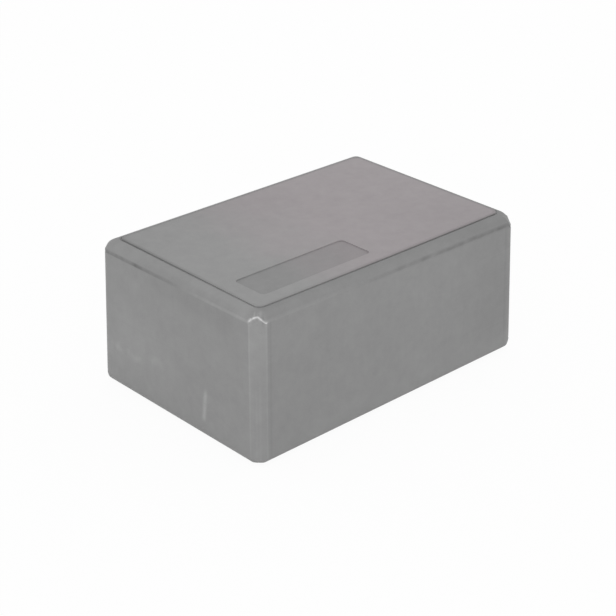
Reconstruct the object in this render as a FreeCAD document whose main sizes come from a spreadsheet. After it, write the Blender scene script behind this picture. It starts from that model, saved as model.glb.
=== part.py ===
# Yoga block: four foam plies bonded by thin glue films, then cut and edged as one stack.
# Millimetres. Origin at the middle of the base, +X along the length, +Y across the width, +Z up.
import FreeCAD, Part
import math
import os
import Sketcher

# Driving sizes of the block, one cell of the sheet each.
SIZES = {
    "block_length": 230.0,       # along X, at the base
    "block_width": 154.6,        # along Y, at the base
    "block_height": 100.0,       # base to top
    "side_lean": 2.6,            # how far each side leans in between base and top
    "corner_radius": 9.0,        # rounding of the four upright corners
    "edge_radius": 8.7,          # arc of the cut along the top and base edges
    "edge_inset": 8.2,           # from the side in to the shoulder that the cut leaves
    "shoulder_step": 0.5,        # height of that shoulder
    "film_thickness": 0.2,       # glue between two plies
    "stamp_length": 88.0,        # plain pressed field on the top, along X
    "stamp_width": 26.0,         # and along Y
    "stamp_depth": 0.6,
    "stamp_corner": 3.0,         # rounding of the field's corners in plan
    "stamp_end_margin": 13.5,    # from the shoulder at the -X end to the field
    "stamp_side_margin": 10.5,   # from the shoulder at the -Y side to the field
    "cut_overrun": 5.0,          # how far every cut runs past the block
}
PLIES = ("bottom_ply", "lower_core_ply", "upper_core_ply", "top_ply")
FILMS = ("lower_bond_film", "middle_bond_film", "upper_bond_film")

# Places that several features share, written in the sheet's cells.
TOP_HALF_LENGTH = "sizes.block_length / 2 - sizes.side_lean"
TOP_HALF_WIDTH = "sizes.block_width / 2 - sizes.side_lean"
BASE_HALF_LENGTH = "sizes.block_length / 2"
BASE_HALF_WIDTH = "sizes.block_width / 2"
PLY_THICKNESS = f"(sizes.block_height - {len(FILMS)} * sizes.film_thickness) / {len(PLIES)}"

# Sketcher's names for the places on a line or an arc, and for the sketch's own origin.
START, END, CENTRE = 1, 2, 3
ORIGIN = (-1, 1)

doc = FreeCAD.newDocument("yoga_block")


def make_sheet():
    """The sheet of driving sizes, one aliased cell per size."""
    sheet = doc.addObject("Spreadsheet::Sheet", "sizes")
    for row, (alias, value) in enumerate(SIZES.items(), start=1):
        sheet.set(f"A{row}", alias)
        sheet.set(f"B{row}", str(value))
        sheet.setAlias(f"B{row}", alias)
    doc.recompute()
    return sheet


def make_sketch(body, name, role):
    """An empty sketch on one of the body's own origin planes."""
    plane = next(item for item in body.Origin.OriginFeatures if item.Role == role)
    sketch = body.newObject("Sketcher::SketchObject", name)
    sketch.AttachmentSupport = (plane, [""])
    sketch.MapMode = "FlatFace"
    return sketch


def size_constraint(sketch, kind, places, expression):
    """A dimension of the sketch, tied to cells of the sheet."""
    flat = [number for place in places for number in place]
    value = abs(measure(sketch, kind, places))
    index = sketch.addConstraint(Sketcher.Constraint(kind, *flat, value))
    sketch.setExpression(f"Constraints[{index}]", expression)


def measure(sketch, kind, places):
    """The dimension's value as drawn, so that a new constraint starts out satisfied."""
    if kind == "Radius":
        return sketch.Geometry[places[0][0]].Radius
    first, second = (sketch.getPoint(*place) for place in places)
    return second.x - first.x if kind == "DistanceX" else second.y - first.y


def join(sketch, kind, first, second):
    """Tie two places of the sketch together: coincident, level or upright."""
    sketch.addConstraint(Sketcher.Constraint(kind, *first, *second))


def span(sketch, kind, sign, low, high, expression):
    """A distance from low out to high, drawn towards the given sign of its axis."""
    places = (low, high) if sign > 0 else (high, low)
    size_constraint(sketch, kind, places, expression)


def add_line(sketch, first, second):
    """A straight line between two points of the sketch."""
    ends = [FreeCAD.Vector(x, y, 0) for x, y in (first, second)]
    return sketch.addGeometry(Part.LineSegment(*ends))


def add_quarter(sketch, centre, radius, quadrant):
    """A quarter circle, counted anticlockwise from the +X direction."""
    circle = Part.Circle(FreeCAD.Vector(*centre, 0), FreeCAD.Vector(0, 0, 1), radius)
    start = quadrant * math.pi / 2
    return sketch.addGeometry(Part.ArcOfCircle(circle, start, start + math.pi / 2))


def draw_block_plan(sketch):
    """The rectangle of the block's base, centred on the origin."""
    half_x, half_y = SIZES["block_length"] / 2, SIZES["block_width"] / 2
    corners = [(-half_x, -half_y), (half_x, -half_y), (half_x, half_y), (-half_x, half_y)]
    sides = [add_line(sketch, corners[i], corners[(i + 1) % len(corners)]) for i in range(len(corners))]
    for side, following in zip(sides, sides[1:] + sides[:1]):
        join(sketch, "Coincident", (side, END), (following, START))
    for kind, pair in (("Horizontal", sides[0::2]), ("Vertical", sides[1::2])):
        for side in pair:
            sketch.addConstraint(Sketcher.Constraint(kind, side))
    front, right, back, _ = sides
    sketch.addConstraint(Sketcher.Constraint("Symmetric", front, START, back, START, *ORIGIN))
    size_constraint(sketch, "DistanceX", ((front, START), (front, END)), "sizes.block_length")
    size_constraint(sketch, "DistanceY", ((right, START), (right, END)), "sizes.block_width")


def draw_edge_cut(sketch, half, half_expression, out, up):
    """What the cutter takes off one edge, seen along that edge.

    half is the half size of the block there, out the side (+1 or -1) and up the face (+1 top, -1 base).
    """
    radius, step, over = SIZES["edge_radius"], SIZES["shoulder_step"], SIZES["cut_overrun"]
    level = SIZES["block_height"] if up > 0 else 0
    inner = half - SIZES["edge_inset"]
    foot = (out * inner, level - up * step)
    head = (out * inner, level + up * over)
    centre = (out * inner, level - up * (step + radius))
    arc_end = (out * (inner + radius), level - up * (step + radius))
    low_far = (out * (inner + radius + over), level - up * (step + radius))
    high_far = (out * (inner + radius + over), level + up * over)

    quadrant = {(1, 1): 0, (-1, 1): 1, (-1, -1): 2, (1, -1): 3}[(out, up)]
    arc = add_quarter(sketch, centre, radius, quadrant)
    wall = add_line(sketch, head, foot)
    floor = add_line(sketch, arc_end, low_far)
    far = add_line(sketch, low_far, high_far)
    roof = add_line(sketch, high_far, head)
    ends_at_foot = out == up
    arc_foot, arc_out = (END, START) if ends_at_foot else (START, END)

    join(sketch, "Coincident", (wall, END), (arc, arc_foot))
    join(sketch, "Coincident", (arc, arc_out), (floor, START))
    join(sketch, "Coincident", (floor, END), (far, START))
    join(sketch, "Coincident", (far, END), (roof, START))
    join(sketch, "Coincident", (roof, END), (wall, START))
    join(sketch, "Vertical", (arc, CENTRE), (arc, arc_foot))
    join(sketch, "Horizontal", (arc, CENTRE), (arc, arc_out))
    for kind, lines in (("Vertical", (wall, far)), ("Horizontal", (floor, roof))):
        for line in lines:
            sketch.addConstraint(Sketcher.Constraint(kind, line))

    size_constraint(sketch, "Radius", ((arc,),), "sizes.edge_radius")
    span(sketch, "DistanceX", out, ORIGIN, (wall, END), f"{half_expression} - sizes.edge_inset")
    foot_level = "sizes.block_height - sizes.shoulder_step" if up > 0 else "sizes.shoulder_step"
    size_constraint(sketch, "DistanceY", (ORIGIN, (wall, END)), foot_level)
    span(sketch, "DistanceX", out, (floor, START), (floor, END), "sizes.cut_overrun")
    span(sketch, "DistanceY", up, (wall, END), (wall, START), "sizes.shoulder_step + sizes.cut_overrun")


def draw_stamp(sketch):
    """The rounded rectangle of the pressed field, near the -X end and the -Y side of the top."""
    radius = SIZES["stamp_corner"]
    inset = SIZES["side_lean"] + SIZES["edge_inset"]
    left = inset + SIZES["stamp_end_margin"] - SIZES["block_length"] / 2
    low = inset + SIZES["stamp_side_margin"] - SIZES["block_width"] / 2
    right, high = left + SIZES["stamp_length"], low + SIZES["stamp_width"]
    lines = [
        add_line(sketch, (left + radius, low), (right - radius, low)),
        add_line(sketch, (right, low + radius), (right, high - radius)),
        add_line(sketch, (right - radius, high), (left + radius, high)),
        add_line(sketch, (left, high - radius), (left, low + radius)),
    ]
    centres = [(right - radius, low + radius), (right - radius, high - radius),
               (left + radius, high - radius), (left + radius, low + radius)]
    arcs = [add_quarter(sketch, centre, radius, (3 + turn) % 4) for turn, centre in enumerate(centres)]
    for line, arc, following in zip(lines, arcs, lines[1:] + lines[:1]):
        sketch.addConstraint(Sketcher.Constraint("Tangent", line, END, arc, START))
        sketch.addConstraint(Sketcher.Constraint("Tangent", arc, END, following, START))
    for arc in arcs[1:]:
        sketch.addConstraint(Sketcher.Constraint("Equal", arcs[0], arc))
    lower, outer, upper, inner = lines
    sketch.addConstraint(Sketcher.Constraint("Horizontal", lower))
    sketch.addConstraint(Sketcher.Constraint("Vertical", outer))
    size_constraint(sketch, "Radius", ((arcs[0],),), "sizes.stamp_corner")
    size_constraint(sketch, "DistanceX", ((inner, END), (outer, START)), "sizes.stamp_length")
    size_constraint(sketch, "DistanceY", ((lower, END), (upper, START)), "sizes.stamp_width")
    end_place = f"{TOP_HALF_LENGTH} - sizes.edge_inset - sizes.stamp_end_margin"
    side_place = f"{TOP_HALF_WIDTH} - sizes.edge_inset - sizes.stamp_side_margin"
    size_constraint(sketch, "DistanceX", ((inner, END), ORIGIN), end_place)
    size_constraint(sketch, "DistanceY", ((lower, END), ORIGIN), side_place)


def reaching_names(items, kind, height):
    """Names of the faces or edges that reach from the base to the top."""
    slack = Part.Precision.confusion()
    numbered = enumerate(items, start=1)
    return [f"{kind}{number}" for number, item in numbered if abs(item.BoundBox.ZLength - height) < slack]


def upright_faces(shape):
    """Names of the block's side faces."""
    return reaching_names(shape.Faces, "Face", shape.BoundBox.ZLength)


def upright_edges(shape):
    """Names of the edges between the side faces."""
    return reaching_names(shape.Edges, "Edge", shape.BoundBox.ZLength)


def cut_edges(body, name, role, half_cell, top_half, base_half, along):
    """One through cut that edges the top and the base on two opposite sides of the block."""
    sketch = make_sketch(body, f"{name}_profile", role)
    half = SIZES[half_cell] / 2
    for out in (1, -1):
        draw_edge_cut(sketch, half - SIZES["side_lean"], top_half, out, 1)
        draw_edge_cut(sketch, half, base_half, out, -1)
    cut = body.newObject("PartDesign::Pocket", name)
    cut.Profile = sketch
    cut.SideType = "Symmetric"
    cut.setExpression("Length", f"sizes.{along} + 2 * sizes.cut_overrun")
    return cut


def make_stack():
    """The bonded stack after cutting: leaning sides, round corners, edged top and base, pressed field."""
    body = doc.addObject("PartDesign::Body", "bonded_stack")
    plan = make_sketch(body, "block_plan", "XY_Plane")
    draw_block_plan(plan)
    blank = body.newObject("PartDesign::Pad", "blank")
    blank.Profile = plan
    blank.setExpression("Length", "sizes.block_height")
    doc.recompute()

    lean = body.newObject("PartDesign::Draft", "leaning_sides")
    lean.Base = (blank, upright_faces(blank.Shape))
    lean.NeutralPlane = plan.AttachmentSupport[0]
    lean.setExpression("Angle", "atan(sizes.side_lean / sizes.block_height)")
    doc.recompute()

    corners = body.newObject("PartDesign::Fillet", "round_corners")
    corners.Base = (lean, upright_edges(lean.Shape))
    corners.setExpression("Radius", "sizes.corner_radius")
    doc.recompute()

    cut_edges(body, "end_edges", "XZ_Plane", "block_length", TOP_HALF_LENGTH, BASE_HALF_LENGTH, "block_width")
    doc.recompute()
    cut_edges(body, "side_edges", "YZ_Plane", "block_width", TOP_HALF_WIDTH, BASE_HALF_WIDTH, "block_length")
    doc.recompute()

    field = make_sketch(body, "stamp_field", "XY_Plane")
    field.setExpression("AttachmentOffset.Base.z", "sizes.block_height")
    draw_stamp(field)
    stamp = body.newObject("PartDesign::Pocket", "pressed_stamp")
    stamp.Profile = field
    stamp.setExpression("Length", "sizes.stamp_depth")
    doc.recompute()
    body.Tip = stamp
    return body


def make_layer(stack, name, thickness, level):
    """One layer of the stack: what the cut block keeps of a sheet of that thickness at that level."""
    sheet = doc.addObject("Part::Box", f"{name}_sheet")
    sheet.setExpression("Length", "sizes.block_length + 2 * sizes.cut_overrun")
    sheet.setExpression("Width", "sizes.block_width + 2 * sizes.cut_overrun")
    sheet.setExpression("Height", thickness)
    sheet.setExpression("Placement.Base.x", "-sizes.block_length / 2 - sizes.cut_overrun")
    sheet.setExpression("Placement.Base.y", "-sizes.block_width / 2 - sizes.cut_overrun")
    sheet.setExpression("Placement.Base.z", level)
    layer = doc.addObject("Part::Common", name)
    layer.Label = name
    layer.Base = stack
    layer.Tool = sheet
    return layer


def make_layers(stack):
    """All plies from the base up, then the films between them."""
    pitch = f"({PLY_THICKNESS} + sizes.film_thickness)"
    layers = []
    for number, name in enumerate(PLIES):
        layers.append(make_layer(stack, name, PLY_THICKNESS, f"{number} * {pitch}"))
    for number, name in enumerate(FILMS):
        level = f"{number} * {pitch} + {PLY_THICKNESS}"
        layers.append(make_layer(stack, name, "sizes.film_thickness", level))
    doc.recompute()
    return layers


def check(stack, layers):
    """Stop if any feature failed, a layer isn't one sound solid, or the layers don't fill the stack."""
    for item in doc.Objects:
        if "Invalid" in item.State or "Error" in item.State:
            raise RuntimeError(f"{item.Name} failed to build: {item.State}")
    for layer in layers:
        if layer.Shape.isNull() or not layer.Shape.isValid() or len(layer.Shape.Solids) != 1:
            raise RuntimeError(f"{layer.Label} isn't one sound solid")
    share_filled = sum(layer.Shape.Volume for layer in layers) / stack.Shape.Volume
    if abs(share_filled - 1) > Part.Precision.confusion():
        raise RuntimeError(f"the layers fill {share_filled} of the stack")


def write(layers):
    """One STEP file per layer, named after it."""
    os.makedirs("parts", exist_ok=True)
    for layer in layers:
        layer.Shape.exportStep(os.path.join("parts", f"{layer.Label}.step"))
        print(f"{layer.Label}: {layer.Shape.Volume:.1f} mm3")


make_sheet()
stack = make_stack()
layers = make_layers(stack)
check(stack, layers)
write(layers)
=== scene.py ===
import logging
import math
from collections.abc import Callable, Iterator
from contextlib import contextmanager
from dataclasses import dataclass, field
from enum import Enum
from functools import cached_property
from typing import Any, ClassVar, NamedTuple

import bmesh
import bpy
from bmesh.types import BMEdge, BMFace
from bpy.types import Material, Node, NodeSocket, NodeTree, Object
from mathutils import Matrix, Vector


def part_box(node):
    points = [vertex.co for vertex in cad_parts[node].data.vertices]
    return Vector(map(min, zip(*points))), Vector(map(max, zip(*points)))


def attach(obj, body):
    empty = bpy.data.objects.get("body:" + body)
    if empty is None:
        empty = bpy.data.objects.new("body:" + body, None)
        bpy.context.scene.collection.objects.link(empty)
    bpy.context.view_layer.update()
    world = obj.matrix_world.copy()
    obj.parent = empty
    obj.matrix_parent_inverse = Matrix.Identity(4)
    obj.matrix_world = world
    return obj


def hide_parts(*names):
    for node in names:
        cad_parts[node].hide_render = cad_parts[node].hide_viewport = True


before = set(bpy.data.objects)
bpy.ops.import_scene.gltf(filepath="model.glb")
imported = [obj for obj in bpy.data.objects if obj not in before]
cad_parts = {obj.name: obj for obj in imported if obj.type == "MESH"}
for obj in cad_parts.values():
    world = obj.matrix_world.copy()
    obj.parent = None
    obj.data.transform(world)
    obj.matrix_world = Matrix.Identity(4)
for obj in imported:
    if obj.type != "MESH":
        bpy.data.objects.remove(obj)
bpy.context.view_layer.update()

LOG = logging.getLogger("yoga_block")
MM = 0.001
ROUND_PROFILE = 0.5


class Ply(Enum):
    """Foam sheets of the block, each named as the node that it stands for."""

    BOTTOM = "bottom_ply"
    LOWER_CORE = "lower_core_ply"
    UPPER_CORE = "upper_core_ply"
    TOP = "top_ply"


class Film(Enum):
    """Glue films between the sheets, named as their nodes."""

    LOWER = "lower_bond_film"
    MIDDLE = "middle_bond_film"
    UPPER = "upper_bond_film"


class Corner(Enum):
    """Upright corners of the block, by the signs of X and Y there."""

    FRONT = (-1, -1)
    LEFT = (-1, 1)
    RIGHT = (1, -1)
    BACK = (1, 1)


class Face(Enum):
    """The two broad faces, by the way that they look."""

    TOP = 1
    BASE = -1


class Element(Enum):
    """What can be selected on a mesh, by the name of its list there."""

    VERT = "verts"
    EDGE = "edges"
    FACE = "faces"


class Rise(NamedTuple):
    """A soft rise: where it starts, where it is full, and how high it is."""

    start: float
    full: float
    height: float = 1.0


class Peak(NamedTuple):
    """A soft peak: where it is, how far it reaches, and how high it is."""

    place: float
    reach: float
    height: float = 1.0


class Mark(NamedTuple):
    """A soft mark: where it starts, is full, fades and ends, and how high it is."""

    start: float
    full: float
    fade: float
    end: float
    height: float = 1.0


class Patch(NamedTuple):
    """Soft noise: the rough size of a patch in millimetres, and how strong it is."""

    size: float
    strength: float


def take(obj: Object) -> None:
    """Make one object the only selected and the active one.

    Args:
        obj: The object.
    """
    bpy.ops.object.select_all(action="DESELECT")
    obj.select_set(True)
    bpy.context.view_layer.objects.active = obj


@contextmanager
def editing(obj: Object) -> Iterator[None]:
    """Hold an object in edit mode.

    Args:
        obj: The mesh object to edit.

    Yields:
        Nothing; object mode is back afterwards.
    """
    take(obj)
    bpy.ops.object.mode_set(mode="EDIT")
    yield
    bpy.ops.object.mode_set(mode="OBJECT")


def pick(obj: Object, kind: Element, wanted: Callable[[Any], bool]) -> None:
    """Select the vertices, edges or faces of the object in edit mode that pass a test.

    Args:
        obj: The object in edit mode.
        kind: What is selected.
        wanted: The test on one of them.
    """
    bpy.ops.mesh.select_mode(type=kind.name)
    bpy.ops.mesh.select_all(action="DESELECT")
    mesh = bmesh.from_edit_mesh(obj.data)
    for element in [element for element in getattr(mesh, kind.value) if wanted(element)]:
        element.select_set(True)
    mesh.select_flush_mode()
    bmesh.update_edit_mesh(obj.data)


def dihedral(edge: BMEdge) -> float:
    """Angle between the two faces of an edge, in degrees; 0 on an open edge."""
    return math.degrees(edge.calc_face_angle(0.0)) if edge.is_manifold else 0.0


@dataclass(frozen=True)
class BlockSizes:
    """Sizes of the block in metres."""

    length: float = 230.0 * MM
    width: float = 154.6 * MM
    height: float = 100.0 * MM
    lean: float = 2.6 * MM
    corner: float = 7.5 * MM
    corner_profile: float = 0.42
    corner_segments: int = 18

    def half(self, axis: int, level: float) -> float:
        """Half the length, for axis 0, or half the width, for axis 1, at a height."""
        return (self.length, self.width)[axis] / 2 - self.slope * level

    @property
    def slope(self) -> float:
        """How far a side leans in per metre of height."""
        return self.lean / self.height

    def plan(self, name: str, level: float) -> Object:
        """The block's outline at a height, as a flat face with round corners.

        Args:
            name: Name of the new object.
            level: The height of the outline.

        Returns:
            A single face.
        """
        bpy.ops.mesh.primitive_plane_add(size=2, location=(0, 0, level))
        sheet = bpy.context.object
        sheet.name = name
        sheet.data.name = name
        bpy.ops.transform.resize(value=(self.half(0, level), self.half(1, level), 1))
        bpy.ops.object.transform_apply(location=True, rotation=True, scale=True)
        with editing(sheet):
            bpy.ops.mesh.select_all(action="SELECT")
            bpy.ops.mesh.bevel(
                offset=self.corner, segments=self.corner_segments, affect="VERTICES", profile=self.corner_profile
            )
        return sheet

    def run_sides(self, sheet: Object, rise: float, dents: dict[Corner, float] | None = None) -> None:
        """Draw the open rim of a sheet up or down along the leaning sides.

        Args:
            sheet: The mesh in edit mode, whose only open rim is the outline.
            rise: How far to go, down if negative.
            dents: How far the new rim also goes in at each corner.
        """
        pick(sheet, Element.EDGE, lambda edge: edge.is_boundary)
        bpy.ops.mesh.extrude_edges_move(TRANSFORM_OT_translate={"value": (0, 0, rise)})
        for corner in Corner:
            sx, sy = corner.value
            pick(sheet, Element.VERT, lambda vert: vert.is_boundary and vert.co.x * sx > 0 and vert.co.y * sy > 0)
            step = -rise * self.slope - (dents[corner] if dents else 0.0)
            bpy.ops.transform.translate(value=(sx * step, sy * step, 0))


class Ring(NamedTuple):
    """One line of the routed edge: how far in from the side, and how deep, or None on the cutter's arc."""

    offset: float
    depth: float | None = None


@dataclass(frozen=True)
class CornerCut:
    """How the cutter's passes came out at one corner.

    Attributes:
        drift: How far further in the shoulder lies than planned, along X and along Y.
        lift: How much higher the edge lies on the sides.
        ridge: Depth over which the ridge between the two passes is rounded off.
        nose: Width over which the upright corner is rounded into the passes.
        drop: How far that rounding falls, as a share of its width.
        dent: Depth of the fine groove under the routed edge; below zero where it stands proud.
        roundness: How round the shoulder's corner is, as a share of the upright corner.
        trough: How deep the trough at the shoulder's foot is, as a share of the usual.
    """

    drift: tuple[float, float] = (0.0, 0.0)
    lift: float = 0.0
    ridge: float = 3.0 * MM
    nose: float = 3.0 * MM
    drop: float = 1.0
    dent: float = 0.2 * MM
    roundness: float = 0.6
    trough: float = 1.0


@dataclass
class RoutedEdge:
    """The edge that the passes of one round cutter leave round a broad face.

    Attributes:
        arc_radius: Radius of the cutter's arc.
        inset: How far in from the sides the shoulder lies.
        step: Height of the shoulder's wall.
        soften: Rounding of the ridge where the edge meets the sides.
        dent_rise: Half the height of the fine groove under the ridge.
        bow: How far the shoulder bows out in the middle of the near long side.
        bow_cuts: Points along that side that the bow is drawn with.
        cuts: How the passes came out at each corner.
        rings: The lines that the edge is drawn with, from the side inwards.
    """

    arc_radius: float = 8.7 * MM
    inset: float = 8.2 * MM
    step: float = 0.5 * MM
    soften: float = 0.3 * MM
    dent_rise: float = 1.0 * MM
    bow: float = 0.0
    bow_cuts: int = 7
    cuts: dict[Corner, CornerCut] = field(default_factory=lambda: {corner: CornerCut() for corner in Corner})
    rings: tuple[Ring, ...] = (
        *(Ring(offset * MM) for offset in (0.0, 0.3, 0.7, 1.2, 1.9, 2.7, 3.6, 4.6, 5.5, 6.4, 7.2)),
        *(Ring(offset * MM, depth * MM) for offset, depth in (
            (7.6, 1.15), (7.95, 1.4), (8.15, 1.2), (8.2, 0.3), (8.3, 0.1), (8.6, 0.0), (9.4, 0.0), (10.4, 0.0),
        )),
    )

    def arc_depth(self, out: float) -> float:
        """Depth of the cutter's arc below the broad face, at a distance outwards from the shoulder."""
        out = min(max(out, 0.0), self.arc_radius)
        return self.step + self.arc_radius - math.sqrt(self.arc_radius**2 - out**2)

    def path_depth(self, inset: tuple[float, float], cut: CornerCut) -> float:
        """Depth where two passes cross, with their ridge rounded off.

        Args:
            inset: Distances in from the two sides.
            cut: The nearest corner.

        Returns:
            The depth in metres.
        """
        first, second = (self.arc_depth(self.inset - distance) for distance in inset)
        nearness = max(0.0, 1 - abs(first - second) / cut.ridge)
        foot = min(first, second) - self.step
        share = max(0.0, 1 - min(inset) / self.inset)
        return max(first, second) + min(cut.ridge * nearness**2 / 4, foot) - cut.lift * share

    def nose_depth(self, offset: float, inset: tuple[float, float], sizes: BlockSizes, cut: CornerCut) -> float:
        """How much deeper a line lies where the upright corner is rounded into the passes.

        Args:
            offset: How far in from the side the line runs.
            inset: Distances in from the two sides.
            sizes: The block's sizes.
            cut: The nearest corner.

        Returns:
            The added depth in metres.
        """
        nearness = max(0.0, 1 - abs(inset[0] - inset[1]) / sizes.corner)
        width = cut.nose * nearness * (2 - nearness)
        return cut.drop * (width - offset) ** 2 / width if offset < width else 0.0


@dataclass
class RoutedSheet:
    """The top or bottom foam sheet, with its routed edge.

    Attributes:
        overrun: How far the sides are drawn before the seam cuts them, as a share of the sheet's thickness.
        settling: Steps in which depth and lean of the outermost line settle.
        run_name: Attribute that holds the way along the edge's section in millimetres.
        run_start: Where that way passes the ridge.
        run_slack: How exactly it is compared, in millimetres.
    """

    ply: Ply
    face: Face
    edge: RoutedEdge
    sizes: BlockSizes = field(default_factory=BlockSizes)
    overrun: float = 1.2
    settling: int = 12
    soften_segments: int = 3
    ring_name: ClassVar[str] = "ring"
    run_name: ClassVar[str] = "edge_run"
    run_start: ClassVar[float] = 10.0 * MM
    run_slack: ClassVar[float] = 0.01

    def build(self) -> Object:
        """Model the sheet.

        Returns:
            The sheet as a closed mesh.
        """
        low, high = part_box(self.ply.value)
        level, seam = (high.z, low.z) if self.face is Face.TOP else (low.z, high.z)
        down = -self.face.value
        sheet = self.sizes.plan(f"foam_{self.ply.value}", level)
        with editing(sheet):
            self.draw_rings(sheet, level)
            self.lower(sheet, level)
            dents = {corner: cut.dent for corner, cut in self.edge.cuts.items()}
            rise = self.edge.dent_rise
            self.sizes.run_sides(sheet, down * rise, dents)
            self.mark_rim(sheet, self.run_start - rise)
            self.sizes.run_sides(sheet, down * rise, {corner: -dent for corner, dent in dents.items()})
            self.mark_rim(sheet, self.run_start - 2 * rise)
            self.sizes.run_sides(sheet, self.overrun * (seam - level))
            self.mark_rim(sheet, 0.0)
            if self.edge.bow:
                self.bow_out(sheet, level)
            bpy.ops.mesh.select_all(action="SELECT")
            bpy.ops.mesh.normals_make_consistent(inside=False)
            self.soften(sheet)
            bpy.ops.mesh.select_all(action="SELECT")
            bpy.ops.mesh.bisect(plane_co=(0, 0, seam), plane_no=(0, 0, down), use_fill=True, clear_outer=True)
        return sheet

    def draw_rings(self, sheet: Object, level: float) -> None:
        """Draw the lines of the routed edge on the flat outline, from the side inwards.

        Args:
            sheet: The outline in edit mode.
            level: Its height.
        """
        bpy.ops.mesh.select_mode(type="FACE")
        bpy.ops.mesh.select_all(action="SELECT")
        half = [self.sizes.half(axis, level) for axis in (0, 1)]
        for number, ring in enumerate(self.edge.rings):
            if number:
                before = self.edge.rings[number - 1].offset
                shrink = [(size - ring.offset) / (size - before) for size in half]
                bpy.ops.mesh.inset(thickness=0, depth=0)
                bpy.ops.transform.resize(value=(*shrink, 1), center_override=(0, 0, level))
            mesh = bmesh.from_edit_mesh(sheet.data)
            layers = mesh.verts.layers.int
            rings = layers.get(self.ring_name) or layers.new(self.ring_name)
            for vert in mesh.verts:
                if vert.select:
                    vert[rings] = number

    def lower(self, sheet: Object, level: float) -> None:
        """Lower the lines of the routed edge to where the cutter leaves them.

        Args:
            sheet: The outline with its lines, in edit mode.
            level: The broad face's height.
        """
        mesh = bmesh.from_edit_mesh(sheet.data)
        mesh.verts.layers.float.new(self.run_name)
        rings = mesh.verts.layers.int[self.ring_name]
        runs = mesh.verts.layers.float[self.run_name]
        up = self.face.value
        half = [self.sizes.half(axis, level) for axis in (0, 1)]
        for vert in mesh.verts:
            number = vert[rings]
            ring = self.edge.rings[number]
            sx, sy = (int(math.copysign(1, place)) for place in vert.co.xy)
            cut = self.edge.cuts[Corner((sx, sy))]
            tight = max(1 - ring.offset / self.sizes.corner, cut.roundness)
            inset = [ring.offset + tight * (size - abs(place) - ring.offset) for size, place in zip(half, vert.co)]
            depth = ring.depth or 0.0
            if depth > self.edge.step:
                depth = self.edge.step + cut.trough * (depth - self.edge.step)
            lean = 0.0
            for _ in range(self.settling if ring.depth is None else 0):
                lean = up * depth * self.sizes.slope if number == 0 else 0.0
                depth = self.edge.path_depth((inset[0] - lean, inset[1] - lean), cut)
                depth += self.edge.nose_depth(ring.offset, inset, self.sizes, cut)
            share = min(1.0, ring.offset / self.edge.inset)
            vert.co = Vector((
                sx * (half[0] - inset[0] + lean - share * cut.drift[0]),
                sy * (half[1] - inset[1] + lean - share * cut.drift[1]),
                level - up * depth,
            ))
            vert[runs] = (self.run_start + ring.offset) / MM
        mesh.verts.layers.int.remove(rings)
        bmesh.update_edit_mesh(sheet.data)

    def bow_out(self, sheet: Object, level: float) -> None:
        """Bow the routed edge out along the near long side.

        Args:
            sheet: The mesh in edit mode, with its sides drawn.
            level: The broad face's height.
        """
        half = self.sizes.half(0, level)
        runs = bmesh.from_edit_mesh(sheet.data).verts.layers.float[self.run_name]
        last = (self.run_start + self.edge.rings[-1].offset) / MM - self.run_slack
        pick(sheet, Element.EDGE, lambda edge: (
            edge.calc_length() > half and edge.verts[0].co.y < -half / 2 and edge.verts[0][runs] < last
        ))
        bpy.ops.mesh.subdivide(number_cuts=self.edge.bow_cuts)
        mesh = bmesh.from_edit_mesh(sheet.data)
        runs = mesh.verts.layers.float[self.run_name]
        for vert in mesh.verts:
            if vert.co.y < -half / 2 and abs(vert.co.x) < half:
                share = (vert[runs] * MM - self.run_start) / self.edge.inset
                vert.co.y -= self.edge.bow * (1 - (vert.co.x / half) ** 2) * min(max(share, 0.0), 1.0)
        bmesh.update_edit_mesh(sheet.data)

    def mark_rim(self, sheet: Object, run: float) -> None:
        """Note on the open rim how far along the edge's section it lies.

        Args:
            sheet: The mesh in edit mode.
            run: The way along the section, from far down the side to the broad face.
        """
        mesh = bmesh.from_edit_mesh(sheet.data)
        runs = mesh.verts.layers.float[self.run_name]
        for vert in mesh.verts:
            if vert.is_boundary:
                vert[runs] = run / MM
        bmesh.update_edit_mesh(sheet.data)

    def soften(self, sheet: Object) -> None:
        """Round the line where the routed edge meets the sides.

        Args:
            sheet: The mesh in edit mode, with its sides drawn.
        """
        runs = bmesh.from_edit_mesh(sheet.data).verts.layers.float[self.run_name]
        start = self.run_start / MM
        pick(sheet, Element.EDGE, lambda edge: all(abs(vert[runs] - start) < self.run_slack for vert in edge.verts))
        bpy.ops.mesh.bevel(offset=self.edge.soften, segments=self.soften_segments, profile=ROUND_PROFILE)


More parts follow.
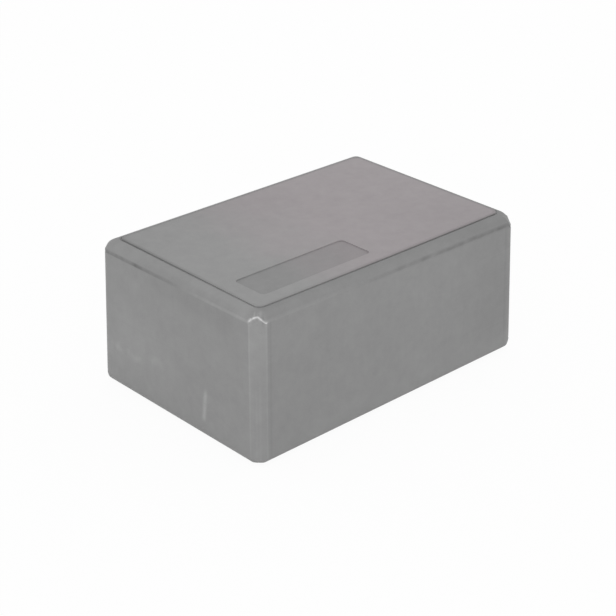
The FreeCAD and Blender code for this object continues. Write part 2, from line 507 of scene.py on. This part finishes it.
@dataclass
class PressedField:
    """The plain field that is pressed into the top, from its low to its high corner along X and Y.

    Attributes:
        level_normal: How far up a face points that counts as level.
        rim_angle: Angle in degrees from which an edge counts as rim or floor line.
        slack: How exactly places are compared.
    """

    low: Vector = field(default_factory=lambda: Vector((-90.7, -56.0)) * MM)
    high: Vector = field(default_factory=lambda: Vector((-2.7, -30.0)) * MM)
    depth: float = 0.6 * MM
    corner: float = 3.0 * MM
    corner_segments: int = 6
    soften: float = 0.22 * MM
    soften_segments: int = 3
    level_normal: float = 0.999
    rim_angle: float = 60.0
    slack: float = 0.01 * MM

    def press(self, sheet: Object) -> None:
        """Press the field into a sheet.

        Args:
            sheet: The top sheet.
        """
        level = max(corner[2] for corner in sheet.bound_box)
        middle = ((self.low + self.high) / 2).to_3d()
        middle.z = level
        with editing(sheet):
            for axis in (0, 1):
                for place in (self.low[axis], self.high[axis]):
                    normal = Vector((0, 0, 0))
                    normal[axis] = 1
                    pick(sheet, Element.FACE, lambda face: self.is_top(face, level))
                    bpy.ops.mesh.bisect(plane_co=normal * place, plane_no=normal)
            pick(sheet, Element.FACE, lambda face: (
                self.is_top(face, level) and (face.calc_center_median() - middle).length < MM
            ))
            bpy.ops.mesh.extrude_region_move(TRANSFORM_OT_translate={"value": (0, 0, -self.depth)})
            pick(sheet, Element.EDGE, self.is_wall_edge)
            bpy.ops.mesh.bevel(offset=self.corner, segments=self.corner_segments, profile=ROUND_PROFILE)
            pick(sheet, Element.EDGE, self.is_rim)
            bpy.ops.mesh.bevel(offset=self.soften, segments=self.soften_segments, profile=ROUND_PROFILE)

    def is_top(self, face: BMFace, level: float) -> bool:
        """Whether a face belongs to the level top at a height."""
        return face.normal.z > self.level_normal and abs(face.calc_center_median().z - level) < self.slack

    def is_wall_edge(self, edge: BMEdge) -> bool:
        """Whether an edge is an upright one of the field's wall."""
        return self.holds(edge) and abs(edge.verts[0].co.z - edge.verts[1].co.z) > self.depth / 2

    def is_rim(self, edge: BMEdge) -> bool:
        """Whether an edge runs round the field's rim or floor."""
        return self.holds(edge) and dihedral(edge) > self.rim_angle

    def holds(self, edge: BMEdge) -> bool:
        """Whether an edge lies within the field's outline."""
        low, high, slack = self.low, self.high, self.slack
        return all(low[a] - slack < vert.co[a] < high[a] + slack for vert in edge.verts for a in (0, 1))


@dataclass
class FlatLayer:
    """A layer with plain cut sides: a foam sheet of the core or a glue film."""

    layer: Ply | Film
    sizes: BlockSizes = field(default_factory=BlockSizes)

    def build(self) -> Object:
        """Model the layer.

        Returns:
            The layer as a closed mesh.
        """
        low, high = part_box(self.layer.value)
        kind = "foam" if isinstance(self.layer, Ply) else "glue"
        sheet = self.sizes.plan(f"{kind}_{self.layer.value}", low.z)
        with editing(sheet):
            self.sizes.run_sides(sheet, high.z - low.z)
            pick(sheet, Element.EDGE, lambda edge: edge.is_boundary)
            bpy.ops.mesh.edge_face_add()
            bpy.ops.mesh.select_all(action="SELECT")
            bpy.ops.mesh.normals_make_consistent(inside=False)
        return sheet


def add_node(tree: NodeTree, kind: str, inputs: dict[str | int, Any]) -> Node:
    """Add a shader node.

    Args:
        tree: The nodes it is added to.
        kind: Its type, without the word that all of them begin with.
        inputs: What each input takes: a value, or the output that gives it.

    Returns:
        The node.
    """
    node = tree.nodes.new(f"ShaderNode{kind}")
    for name, value in inputs.items():
        if isinstance(value, NodeSocket):
            tree.links.new(value, node.inputs[name])
        else:
            node.inputs[name].default_value = value
    return node


@dataclass(frozen=True)
class Field:
    """A number that varies over a surface: the output of a shader node that gives it."""

    tree: NodeTree
    socket: NodeSocket

    def work(self, operation: str, *others: "Field | float") -> "Field":
        """Add one step of arithmetic, with this number first.

        Args:
            operation: The Math node's operation.
            others: The numbers that follow.

        Returns:
            The result.
        """
        values = (value.socket if isinstance(value, Field) else value for value in (self, *others))
        node = add_node(self.tree, "Math", dict(enumerate(values)))
        node.operation = operation
        return Field(self.tree, node.outputs[0])

    def __add__(self, other: "Field | float") -> "Field":
        """Sum of two numbers."""
        return self.work("ADD", other)

    def __sub__(self, other: "Field | float") -> "Field":
        """Difference of two numbers."""
        return self.work("SUBTRACT", other)

    def __mul__(self, other: "Field | float") -> "Field":
        """Product of two numbers."""
        return self.work("MULTIPLY", other)

    def size(self) -> "Field":
        """The number without its sign."""
        return self.work("ABSOLUTE")

    def rest(self) -> "Field":
        """What the number leaves of 1."""
        return self * -1.0 + 1.0

    def ramp(self, rise: Rise) -> "Field":
        """Rise softly from 0.

        Args:
            rise: Where and how high; it may start above where it is full.

        Returns:
            The rise.
        """
        node = add_node(self.tree, "MapRange", {
            "Value": self.socket, "From Min": rise.start, "From Max": rise.full, "To Max": rise.height,
        })
        node.interpolation_type = "SMOOTHSTEP"
        return Field(self.tree, node.outputs["Result"])

    def span(self, mark: Mark) -> "Field":
        """Rise softly from 0, stay there and fall again."""
        return self.ramp(Rise(mark.start, mark.full)) * self.ramp(Rise(mark.end, mark.fade, mark.height))

    def near(self, peak: Peak) -> "Field":
        """Peak softly above 0."""
        return (self - peak.place).size().ramp(Rise(peak.reach, 0.0, peak.height))


class Surface:
    """Where a point lies on the block, in millimetres, for the nodes of one material.

    Attributes:
        corner_share: What a distance from a corner counts on the long sides, as a share of that on the ends.
        front_share: The same for the distance from the front corner.
        end_edge: Where the near end's routed edge begins.
    """

    corner_share: ClassVar[float] = 0.88
    front_share: ClassVar[float] = 0.72
    end_edge: ClassVar[Rise] = Rise(-101.0, -105.0)

    def __init__(self, tree: NodeTree, sizes: BlockSizes) -> None:
        """Lay out the fields.

        Args:
            tree: The material's nodes.
            sizes: The block's sizes.
        """
        self.tree = tree
        self.sizes = sizes
        self.spot = add_node(tree, "TexCoord", {}).outputs["Object"]
        split = add_node(tree, "SeparateXYZ", {0: self.spot})
        self.x, self.y, self.z = (Field(tree, socket) * (1 / MM) for socket in split.outputs)

    @cached_property
    def inset(self) -> tuple[Field, Field]:
        """Distances in from the nearer end and from the nearer long side."""
        lean = self.z * -self.sizes.slope
        return (
            lean + self.sizes.length / 2 / MM - self.x.size(),
            lean + self.sizes.width / 2 / MM - self.y.size(),
        )

    @cached_property
    def corner(self) -> Field:
        """Distance from an upright corner along the sides, which reaches further on the long ones."""
        return (self.inset[0] * self.corner_share).work("MAXIMUM", self.inset[1])

    @cached_property
    def off_mitre(self) -> Field:
        """Distance off the line halfway round a corner, above zero on the long side."""
        return self.inset[0] - self.inset[1]

    @cached_property
    def from_front(self) -> Field:
        """Distance from the front corner along the sides, with the long side drawn in."""
        along = (self.x + self.sizes.length / 2 / MM) * self.front_share
        return along + (self.y + self.sizes.width / 2 / MM)

    @cached_property
    def near_end(self) -> Field:
        """1 at the near end's routed edge and 0 further along the sides."""
        return self.x.ramp(self.end_edge)

    @cached_property
    def run(self) -> Field:
        """Way along the edge's section from its ridge: below zero on the side, above it towards the broad face."""
        attribute = add_node(self.tree, "Attribute", {})
        attribute.attribute_name = RoutedSheet.run_name
        return Field(self.tree, attribute.outputs["Fac"]) - RoutedSheet.run_start / MM

    def noise(self, size: float, upright: float | None = None) -> Field:
        """Soft noise about zero.

        Args:
            size: Rough size of a patch in millimetres.
            upright: How many times taller than wide a patch is, where it is drawn out.

        Returns:
            A number from about -0.5 to 0.5.
        """
        place = self.spot
        if upright is not None:
            place = add_node(self.tree, "Mapping", {"Vector": place, "Scale": (1, 1, 1 / upright)}).outputs[0]
        node = add_node(self.tree, "TexNoise", {"Vector": place, "Scale": 1 / (size * MM)})
        return Field(self.tree, node.outputs["Fac"]) - 0.5

    def patches(self, *patches: Patch) -> Field:
        """Sum of soft noises of several sizes, about zero."""
        first, *others = (self.noise(patch.size) * patch.strength for patch in patches)
        return sum(others, first)

    def cells(self, size: float) -> tuple[Field, Field]:
        """A random number for each closed cell of a size in millimetres, and the distance from its middle."""
        node = add_node(self.tree, "TexVoronoi", {"Vector": self.spot, "Scale": 1 / (size * MM)})
        return Field(self.tree, node.outputs["Color"]), Field(self.tree, node.outputs["Distance"])


class Paint:
    """A new material, whose colour, roughness and bump vary over the surface."""

    def __init__(self, name: str, sizes: BlockSizes) -> None:
        """Start with a plain shader.

        Args:
            name: Name of the material.
            sizes: The block's sizes.
        """
        self.material = bpy.data.materials.new(name)
        self.material.use_nodes = True
        self.tree = self.material.node_tree
        self.shader = self.tree.nodes["Principled BSDF"]
        self.spot = Surface(self.tree, sizes)

    def colour(self, *channels: Field) -> None:
        """Set the colour from its red, green and blue."""
        node = add_node(self.tree, "CombineColor", dict(enumerate(channel.socket for channel in channels)))
        self.tree.links.new(node.outputs[0], self.shader.inputs["Base Color"])

    def roughness(self, value: Field) -> None:
        """Set the roughness."""
        self.tree.links.new(value.socket, self.shader.inputs["Roughness"])

    def bump(self, height: Field, strength: float, depth: float) -> None:
        """Raise fine bumps, at a strength from 0 to 1 and a depth in metres."""
        node = add_node(self.tree, "Bump", {"Height": height.socket, "Strength": strength, "Distance": depth})
        self.tree.links.new(node.outputs[0], self.shader.inputs["Normal"])


# In the tones below, places are in millimetres, and ways along the edge are counted from its ridge inwards, where the
# shoulder lies at 8.2. Heights of rises, peaks and marks, and what is light or dark, are shares of the grey.


@dataclass(frozen=True)
class CornerTone:
    """Painted light and shade on the rounded upright corners: near the front corner the band is lighter than the
    sides, more so higher up, with a light line down its middle; a fine light line runs along every band, the middle
    of the other corners is darker, and a dark line runs beside the band on the near long side.
    """

    below_ridge: Rise = Rise(-0.1, -0.9)
    near_front: Rise = Rise(60.0, 40.0)
    band: Rise = Rise(7.8, 6.9)
    band_light: float = 0.055
    band_rise: Rise = Rise(15.0, 90.0, 0.055)
    band_top: Rise = Rise(62.0, 80.0, 0.045)
    middle: Peak = Peak(3.2, 0.9, 0.045)
    middle_height: Rise = Rise(75.0, 40.0)
    line: Peak = Peak(6.7, 0.9, 0.065)
    tip: Rise = Rise(4.8, 2.8, 0.07)
    shaded: Peak = Peak(9.4, 1.3, 0.06)
    shaded_side: Rise = Rise(-72.0, -74.0)

    def tone(self, spot: Surface) -> Field:
        """Work out the tone.

        Args:
            spot: Places on the block.

        Returns:
            A factor on the grey.
        """
        # Painted light on the front corner's band, painted shade along the other corners and beside the band.
        front = spot.from_front.ramp(self.near_front)
        rise = spot.z.ramp(self.band_rise) + spot.z.ramp(self.band_top) + self.band_light
        light = spot.corner.ramp(self.band) * rise + spot.corner.near(self.middle) * spot.z.ramp(self.middle_height)
        dark = spot.corner.ramp(self.tip) * front.rest() + spot.corner.near(self.shaded) * spot.y.ramp(self.shaded_side)
        return spot.run.ramp(self.below_ridge) * (front * light + spot.corner.near(self.line) - dark) + 1.0


@dataclass(frozen=True)
class Grain:
    """Clouds and patches of the foam, its closed cells and faint upright marks of the saw."""

    patches: tuple[Patch, ...] = (Patch(60.0, 0.035), Patch(28.0, 0.05), Patch(11.0, 0.13), Patch(5.0, 0.1))
    speckle: float = 0.07
    saw_width: float = 3.5
    saw_draw: float = 22.0
    saw_side: Rise = Rise(0.0, -2.0, 0.035)

    def tone(self, spot: Surface, number: Field) -> Field:
        """A factor on the grey, from the places on the block and a random number for each cell."""
        saw = spot.noise(self.saw_width, upright=self.saw_draw) * spot.run.ramp(self.saw_side)
        return spot.patches(*self.patches) + saw + (number * self.speckle - self.speckle / 2) + 1.0


@dataclass(frozen=True)
class SkinTone:
    """Broad faces: painted light that makes them lighter towards the +X end, where the lamp is, and a little darker
    towards two corners.
    """

    along: Rise = Rise(-115.0, 15.0, 0.066)
    end_dark: float = 0.056
    far_across: Rise = Rise(-10.0, 62.0, 0.055)
    far_along: Rise = Rise(45.0, 5.0)
    near_across: Rise = Rise(0.0, -45.0, 0.05)
    near_along: Rise = Rise(20.0, 75.0)

    def tone(self, spot: Surface, skin: Field) -> Field:
        """Work out the tone.

        Args:
            spot: Places on the block.
            skin: Where the broad faces are.

        Returns:
            A factor on the grey.
        """
        far = spot.y.ramp(self.far_across) * spot.x.ramp(self.far_along)
        near = spot.y.ramp(self.near_across) * spot.x.ramp(self.near_along)
        # Painted light: the broad faces grow lighter towards the +X end.
        return skin * (spot.x.ramp(self.along) - self.end_dark - far - near) + 1.0


@dataclass(frozen=True)
class ShoulderTone:
    """Painted shade on the routed edge: darker towards its shoulder and along the near long side, darkest in the
    crease at the shoulder, and less dark near the front corner.
    """

    edge: Mark = Mark(-0.6, 1.0, 7.8, 8.4)
    inward: Rise = Rise(0.0, 8.2, 0.1)
    side: Rise = Rise(-62.0, -68.0)
    side_inward: Rise = Rise(2.5, 7.4, 0.065)
    side_dark: float = 0.08
    end_front: Rise = Rise(110.0, 20.0, 0.065)
    end_dark: float = 0.01
    rim: Mark = Mark(8.1, 8.5, 8.6, 10.8)
    rim_dark: float = 0.2
    rim_patch: Patch = Patch(25.0, 0.15)
    rim_front: Rise = Rise(110.0, 15.0)
    rim_front_light: float = 0.09
    rim_end_light: float = 0.1
    foot: Mark = Mark(6.0, 7.7, 8.2, 8.6)
    foot_dark: float = 0.08
    foot_front_light: float = 0.07

    def tone(self, spot: Surface) -> Field:
        """Work out the tone.

        Args:
            spot: Places on the block.

        Returns:
            A factor on the grey.
        """
        run, end = spot.run, spot.near_end
        # Painted shade: the band darkens towards the shoulder and on the near long side.
        side = spot.y.ramp(self.side) * (run.ramp(self.side_inward) + self.side_dark)
        shaded = run.ramp(self.inward) + side - end * (spot.from_front.ramp(self.end_front) - self.end_dark)
        # Painted shade in the crease at the shoulder, at its rim and its foot, less near the front corner.
        front = spot.from_front.ramp(self.rim_front)
        rim = spot.patches(self.rim_patch) + self.rim_dark - front * (end * self.rim_end_light + self.rim_front_light)
        foot = front * -self.foot_front_light + self.foot_dark
        crease = run.span(self.rim) * rim + run.span(self.foot) * foot
        return (run.span(self.edge) * shaded).rest() * crease.rest()


@dataclass(frozen=True)
class RidgeLightAndShade:
    """Painted light and shade along the ridge: painted shade in a groove line far from the front corner, a painted
    highlight near it, and painted shade along the base's routed edge.
    """

    upper: Rise = Rise(40.0, 60.0)
    side_groove: Mark = Mark(-2.5, -1.0, -0.2, 0.6)
    side_groove_far: Rise = Rise(35.0, 145.0)
    end_groove: Mark = Mark(-1.3, -0.5, 0.1, 0.55)
    end_groove_far: Rise = Rise(65.0, 115.0)
    groove_dark: float = 0.3
    groove_patch: Patch = Patch(9.0, 0.7)
    worn: Mark = Mark(-1.15, -0.6, 0.0, 0.4)
    highlight_front: Rise = Rise(80.0, 40.0)
    highlight_light: float = 0.05
    highlight_end_light: float = 0.12
    highlight_rough: float = 0.1
    under: Rise = Rise(1.0, 3.0, 0.09)
    under_height: Rise = Rise(30.0, 10.0)

    def tone(self, spot: Surface, rough: Field) -> Field:
        """Work out the painted light and shade.

        Args:
            spot: Places on the block.
            rough: Fine noise.

        Returns:
            What it adds to a factor on the grey.
        """
        run, end, upper = spot.run, spot.near_end, spot.z.ramp(self.upper)
        # Painted shade in the groove just below the ridge, far from the front corner.
        side_groove = run.span(self.side_groove) * spot.from_front.ramp(self.side_groove_far)
        end_groove = run.span(self.end_groove) * spot.from_front.ramp(self.end_groove_far)
        groove = end.rest() * side_groove + end * end_groove
        dark = groove * upper * (spot.patches(self.groove_patch) + self.groove_dark)
        # Painted highlight on the ridge near the front corner.
        worn = run.span(self.worn) * spot.from_front.ramp(self.highlight_front) * upper
        light = worn * (end * self.highlight_end_light + rough * self.highlight_rough + self.highlight_light)
        # The last term is painted shade along the routed edge near the base.
        return light - dark - run.ramp(self.under) * spot.z.ramp(self.under_height)


@dataclass(frozen=True)
class TipHighlight:
    """Painted highlight on the tip of the front corner, above the upright edge: bright lines along the ridges where
    the passes meet, two fainter lines above them, and a light and dark mottle round them.
    """

    corner: Rise = Rise(8.2, 6.0)
    front: Rise = Rise(28.0, 18.0)
    height: Rise = Rise(80.0, 90.0)
    arms: Peak = Peak(0.2, 0.9)
    arms_side: Rise = Rise(1.0, 7.0, 0.8)
    arms_light: float = 1.15
    arms_rough: float = 1.6
    mottle: Mark = Mark(-3.0, -1.0, 0.0, 5.0, 0.7)
    end_rib: Peak = Peak(-2.0, 1.2)
    side_rib: Peak = Peak(2.8, 1.7)
    ribs: Mark = Mark(0.0, 1.0, 3.5, 6.5, 0.2)

    def tone(self, spot: Surface, rough: Field) -> Field:
        """Work out the painted highlight.

        Args:
            spot: Places on the block.
            rough: Fine noise.

        Returns:
            What it adds to a factor on the grey.
        """
        # Painted highlight on the front corner's ridges, with fainter painted highlight lines and mottle.
        here = spot.corner.ramp(self.corner) * spot.from_front.ramp(self.front) * spot.z.ramp(self.height)
        line = spot.run + spot.off_mitre.ramp(self.arms_side)
        arms = line.near(self.arms) * (rough * self.arms_rough + self.arms_light)
        ribs = spot.off_mitre.near(self.end_rib) + spot.off_mitre.near(self.side_rib)
        return here * (arms + spot.run.span(self.mottle) * rough + ribs * spot.run.span(self.ribs))


@dataclass(frozen=True)
class ScuffsAndShade:
    """Rubbed marks and a pale patch on the near end, with painted shade under its routed edge and across the near
    side.
    """

    end: Rise = Rise(-108.0, -111.0)
    wander: Patch = Patch(12.0, 6.0)
    scratch: Peak = Peak(-26.2, 2.8)
    scratch_lean: float = 0.08
    scratch_wander: float = 0.25
    scratch_height: Mark = Mark(11.0, 16.0, 30.0, 37.0, 0.31)
    streak: Peak = Peak(38.0, 7.5)
    streak_lean: float = 0.16
    streak_wander: float = 0.6
    streak_across: Mark = Mark(8.0, 24.0, 64.0, 74.0)
    streak_patch: float = 8.0
    streak_breaks: Rise = Rise(-0.14, 0.18, 0.17)
    pale_across: Peak = Peak(38.0, 62.0)
    pale_height: Peak = Peak(38.0, 34.0)
    pale_patch: Patch = Patch(9.0, 0.07)
    pale_light: float = 0.075
    shade_across: Mark = Mark(-62.0, -52.0, 15.0, 35.0)
    shade_height: Rise = Rise(76.0, 88.0, 0.065)
    side: Rise = Rise(-71.0, -73.0)
    side_dark: float = 0.006
    mid_height_shade: Peak = Peak(48.0, 34.0, 0.022)
    foot: Rise = Rise(24.0, 8.0, 0.03)
    far_along: Rise = Rise(35.0, 105.0)
    far_height: Rise = Rise(-6.0, 26.0, 0.095)

    def tone(self, spot: Surface) -> Field:
        """A factor on the grey, from the places on the block."""
        # Real marks on the near end, less painted shade across the near side.
        return spot.x.ramp(self.end) * self.end_marks(spot) - spot.y.ramp(self.side) * self.side_shade(spot) + 1.0

    def end_marks(self, spot: Surface) -> Field:
        """Scratch, rubbed streak and pale patch of the near end, and painted shade under its routed edge.

        Args:
            spot: Places on the block.

        Returns:
            What they add to a factor on the grey.
        """
        wander = spot.patches(self.wander)
        upright = spot.y + spot.z * self.scratch_lean + wander * self.scratch_wander
        scratch = upright.near(self.scratch) * spot.z.span(self.scratch_height)
        level = spot.z + spot.y * self.streak_lean + wander * self.streak_wander
        streak = level.near(self.streak) * spot.y.span(self.streak_across)
        rubbed = streak * spot.noise(self.streak_patch).ramp(self.streak_breaks)
        pale = spot.y.near(self.pale_across) * spot.z.near(self.pale_height)
        # Painted shade under the near end's routed edge.
        shade = spot.y.span(self.shade_across) * spot.z.ramp(self.shade_height)
        return scratch + rubbed + pale * (spot.patches(self.pale_patch) + self.pale_light) - shade

    def side_shade(self, spot: Surface) -> Field:
        """What the painted shade on the near side takes from a factor on the grey: darker towards its far end and
        about mid-height, less at its foot.
        """
        # Painted shade across the near side.
        mid_height_shade = spot.z.near(self.mid_height_shade) - spot.z.ramp(self.foot) + self.side_dark
        return spot.x.ramp(self.far_along) * spot.z.ramp(self.far_height) + mid_height_shade


@dataclass(frozen=True)
class FoamFinish:
    """Matt closed-cell foam, mid grey, with a faintly warm skin on the broad faces."""

    name: str = "grey_foam"
    grey: float = 0.293
    cell: float = 0.4
    rough_patch: float = 1.8
    skin: Rise = Rise(8.0, 8.6)
    warm_along: Rise = Rise(-75.0, 5.0)
    warm_wander: Patch = Patch(60.0, 90.0)
    warm_red: float = 0.095
    warm_blue: float = 0.032
    pressed_rim: Rise = Rise(0.1, -0.3)
    pressed_height: Mark = Mark(98.0, 99.0, 99.5, 99.9, 0.17)
    skin_roughness: float = 0.52
    cut_roughness: float = 0.6
    roughness_patch: Patch = Patch(9.0, 0.1)
    bump_patch: Patch = Patch(1.2, 0.8)
    bump_strength: float = 0.35
    bump_depth: float = 0.06 * MM
    grain: Grain = Grain()
    shoulder: ShoulderTone = ShoulderTone()
    ridge: RidgeLightAndShade = RidgeLightAndShade()
    tip: TipHighlight = TipHighlight()
    corners: CornerTone = CornerTone()
    scuffs_and_shade: ScuffsAndShade = ScuffsAndShade()
    faces: SkinTone = SkinTone()

    def make(self, sizes: BlockSizes, pressed: PressedField) -> Material:
        """Build the foam's material.

        Args:
            sizes: The block's sizes.
            pressed: The pressed field.

        Returns:
            The material.
        """
        paint = Paint(self.name, sizes)
        spot = paint.spot
        number, dome = spot.cells(self.cell)
        skin = spot.run.ramp(self.skin)
        # The grain is the foam's own; the edge, corner and skin tones and part of the scuffs tone paint light and
        # shade into the grey.
        tone = self.grain.tone(spot, number) * self.grey * self.edge(spot) * self.corners.tone(spot)
        tone = tone * self.scuffs_and_shade.tone(spot) * self.faces.tone(spot, skin) * self.floor(spot, pressed).rest()
        warmth = skin * (spot.x + spot.patches(self.warm_wander)).ramp(self.warm_along)
        paint.colour(tone * (warmth * self.warm_red + 1.0), tone, tone * (warmth * self.warm_blue + 1.0))
        roughness = skin * (self.skin_roughness - self.cut_roughness) + self.cut_roughness
        paint.roughness(roughness + spot.patches(self.roughness_patch))
        paint.bump(dome * -1.0 + spot.patches(self.bump_patch), self.bump_strength, self.bump_depth)
        return paint.material

    def edge(self, spot: Surface) -> Field:
        """A factor on the grey for the routed edge, with its painted light and shade, from the places on the block.
        """
        rough = spot.noise(self.rough_patch)
        return self.shoulder.tone(spot) * (self.ridge.tone(spot, rough) + self.tip.tone(spot, rough) + 1.0)

    def floor(self, spot: Surface, pressed: PressedField) -> Field:
        """Dark tone of the pressed field's floor.

        Args:
            spot: Places on the block.
            pressed: The pressed field.

        Returns:
            What it takes from a factor on the grey.
        """
        dark = spot.z.span(self.pressed_height)
        for place, low, high in zip((spot.x, spot.y), pressed.low / MM, pressed.high / MM):
            half = (high - low) / 2
            rim = Rise(half + self.pressed_rim.start, half + self.pressed_rim.full)
            dark = dark * (place - (low + high) / 2).size().ramp(rim)
        return dark


@dataclass(frozen=True)
class GlueFinish:
    """Dried glue between the sheets, a shade under the foam's grey."""

    name: str = "grey_glue"
    grey: float = 0.288
    patches: tuple[Patch, ...] = (Patch(4.0, 0.05), Patch(28.0, 0.05))
    roughness: float = 0.6
    roughness_patch: Patch = Patch(3.0, 0.15)
    corners: CornerTone = CornerTone()

    def make(self, sizes: BlockSizes) -> Material:
        """Build the glue's material.

        Args:
            sizes: The block's sizes.

        Returns:
            The material.
        """
        paint = Paint(self.name, sizes)
        spot = paint.spot
        # The corner tone paints the same light and shade on the films' corners as on the foam's.
        tone = (spot.patches(*self.patches) + 1.0) * self.corners.tone(spot) * self.grey
        paint.colour(tone, tone, tone)
        paint.roughness(spot.patches(self.roughness_patch) + self.roughness)
        return paint.material


@dataclass
class Block:
    """The whole block: four foam sheets and the glue films between them.

    Attributes:
        fill: How tightly the foam fills its shape.
        smooth_angle: Angle in degrees up to which faces are smoothed into each other.
        flat_weight: How strongly broad faces hold the smoothing flat, up to 100.
    """

    sizes: BlockSizes = field(default_factory=BlockSizes)
    fill: float = 1.0
    smooth_angle: float = 38.0
    flat_weight: int = 100
    pressed: PressedField = field(default_factory=PressedField)
    base_edge: RoutedEdge = field(default_factory=lambda: RoutedEdge(
        arc_radius=7.9 * MM, inset=7.4 * MM, step=0.4 * MM, cuts={
            Corner.FRONT: CornerCut(lift=0.6 * MM, nose=8.0 * MM, drop=0.25),
            Corner.LEFT: CornerCut(lift=0.2 * MM, nose=4.5 * MM),
            Corner.RIGHT: CornerCut(nose=5.5 * MM),
            Corner.BACK: CornerCut(),
        },
    ))
    top_edge: RoutedEdge = field(default_factory=lambda: RoutedEdge(
        bow=0.7 * MM, cuts={
            Corner.FRONT: CornerCut(
                drift=(0.7 * MM, -0.1 * MM), lift=1.1 * MM, ridge=0.8 * MM, nose=0.2 * MM,
                dent=-0.12 * MM, roundness=0.55, trough=0.35,
            ),
            Corner.LEFT: CornerCut(drift=(1.7 * MM, 0.0 * MM), ridge=4.0 * MM, dent=0.35 * MM, roundness=0.42),
            Corner.RIGHT: CornerCut(
                drift=(0.5 * MM, -0.7 * MM), nose=12.0 * MM, drop=0.5, dent=0.35 * MM, roundness=0.7
            ),
            Corner.BACK: CornerCut(drift=(-0.6 * MM, 0.0 * MM)),
        },
    ))

    def build(self) -> dict[Ply | Film, Object]:
        """Model the foam sheets and the glue films.

        Returns:
            The layers by name.
        """
        layers: dict[Ply | Film, Object] = {
            Ply.BOTTOM: RoutedSheet(Ply.BOTTOM, Face.BASE, self.base_edge, self.sizes).build(),
            Ply.TOP: RoutedSheet(Ply.TOP, Face.TOP, self.top_edge, self.sizes).build(),
        }
        for layer in (Ply.LOWER_CORE, Ply.UPPER_CORE, *Film):
            layers[layer] = FlatLayer(layer, self.sizes).build()
        self.pressed.press(layers[Ply.TOP])
        for sheet in layers.values():
            self.shade(sheet)
        return layers

    def shade(self, sheet: Object) -> None:
        """Smooth the rounded edges and keep the broad faces flat.

        Args:
            sheet: A finished layer.
        """
        take(sheet)
        bpy.ops.object.shade_smooth_by_angle(angle=math.radians(self.smooth_angle))
        bpy.ops.object.modifier_add(type="WEIGHTED_NORMAL")
        weighted = sheet.modifiers[-1]
        weighted.keep_sharp = True
        weighted.weight = self.flat_weight
        bpy.ops.object.modifier_apply(modifier=weighted.name)

    def dress(self, layers: dict[Ply | Film, Object]) -> None:
        """Give the layers their finish and their place in the frame.

        Args:
            layers: The foam sheets and the glue films.
        """
        foam = FoamFinish().make(self.sizes, self.pressed)
        glue = GlueFinish().make(self.sizes)
        for layer, sheet in layers.items():
            is_foam = isinstance(layer, Ply)
            sheet.data.materials.clear()
            sheet.data.materials.append(foam if is_foam else glue)
            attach(sheet, "root")
            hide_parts(layer.value)
            LOG.info("%s: %d faces", sheet.name, len(sheet.data.polygons))


@dataclass(frozen=True)
class Studio:
    """Pale floor, soft light and the camera.

    Attributes:
        floor_gap: How far the floor lies under the block.
        floor_grey: The floor's own grey.
        floor_white: Share of plain white in what the camera sees of it.
    """

    camera_place: tuple[float, float, float] = (-0.6291, -0.6756, 0.5012)
    camera_aim: tuple[float, float, float] = (0.0001, 0.0038, 0.0389)
    lens: float = 92.15
    sensor: float = 36.0
    world_strength: float = 0.87
    lamp_place: tuple[float, float, float] = (0.5, 0.3, 1.3)
    lamp_aim: tuple[float, float, float] = (0.0, 0.0, 0.05)
    lamp_size: float = 1.2
    lamp_power: float = 1.0
    floor_size: float = 30.0
    floor_gap: float = 0.1 * MM
    floor_grey: float = 0.9
    floor_white: float = 0.95

    def build(self) -> None:
        """Set up the floor, the light and the camera."""
        self.floor()
        self.light()
        self.camera()

    def floor(self) -> None:
        """A wide pale floor that the camera sees as white, with the block's shadow."""
        bpy.ops.mesh.primitive_plane_add(size=self.floor_size, location=(0, 0, -self.floor_gap))
        floor = bpy.context.object
        floor.name = "floor"
        material = bpy.data.materials.new("pale_floor")
        material.use_nodes = True
        tree = material.node_tree
        tree.nodes.clear()
        plain = add_node(tree, "BsdfDiffuse", {"Color": (*[self.floor_grey] * 3, 1)}).outputs[0]
        white = add_node(tree, "Emission", {"Color": (1, 1, 1, 1)}).outputs[0]
        seen = add_node(tree, "MixShader", {"Fac": self.floor_white, 1: plain, 2: white}).outputs[0]
        path = add_node(tree, "LightPath", {})
        straight, mirrored, through = (
            Field(tree, path.outputs[f"Is {kind} Ray"]) for kind in ("Camera", "Glossy", "Transmission")
        )
        in_view = straight.work("MAXIMUM", mirrored).work("MAXIMUM", through)
        choose = add_node(tree, "MixShader", {"Fac": in_view.socket, 1: plain, 2: seen}).outputs[0]
        add_node(tree, "OutputMaterial", {"Surface": choose})
        floor.data.materials.append(material)

    def light(self) -> None:
        """An even white surround and a faint lamp overhead."""
        world = bpy.data.worlds.new("studio")
        bpy.context.scene.world = world
        world.use_nodes = True
        background = world.node_tree.nodes["Background"]
        background.inputs["Color"].default_value = (1, 1, 1, 1)
        background.inputs["Strength"].default_value = self.world_strength
        bpy.ops.object.light_add(type="AREA", location=self.lamp_place)
        lamp = bpy.context.object
        lamp.name = "overhead"
        lamp.data.shape = "DISK"
        lamp.data.size = self.lamp_size
        lamp.data.energy = self.lamp_power
        self.point(lamp, self.lamp_aim)

    def camera(self) -> None:
        """The camera at the photograph's angle."""
        bpy.ops.object.camera_add(location=self.camera_place)
        camera = bpy.context.object
        camera.data.sensor_width = self.sensor
        camera.data.lens = self.lens
        self.point(camera, self.camera_aim)
        bpy.context.scene.camera = camera

    def point(self, obj: Object, aim: tuple[float, float, float]) -> None:
        """Turn a lamp or the camera towards a place."""
        obj.rotation_euler = (Vector(aim) - obj.location).to_track_quat("-Z", "Y").to_euler()


def main() -> None:
    """Build the block's sheets, dress them and set up the studio."""
    logging.basicConfig(level=logging.INFO, format="%(name)s: %(message)s")
    bpy.context.scene.view_settings.view_transform = "Standard"
    block = Block()
    block.dress(block.build())
    Studio().build()


if __name__ == "__main__":
    main()
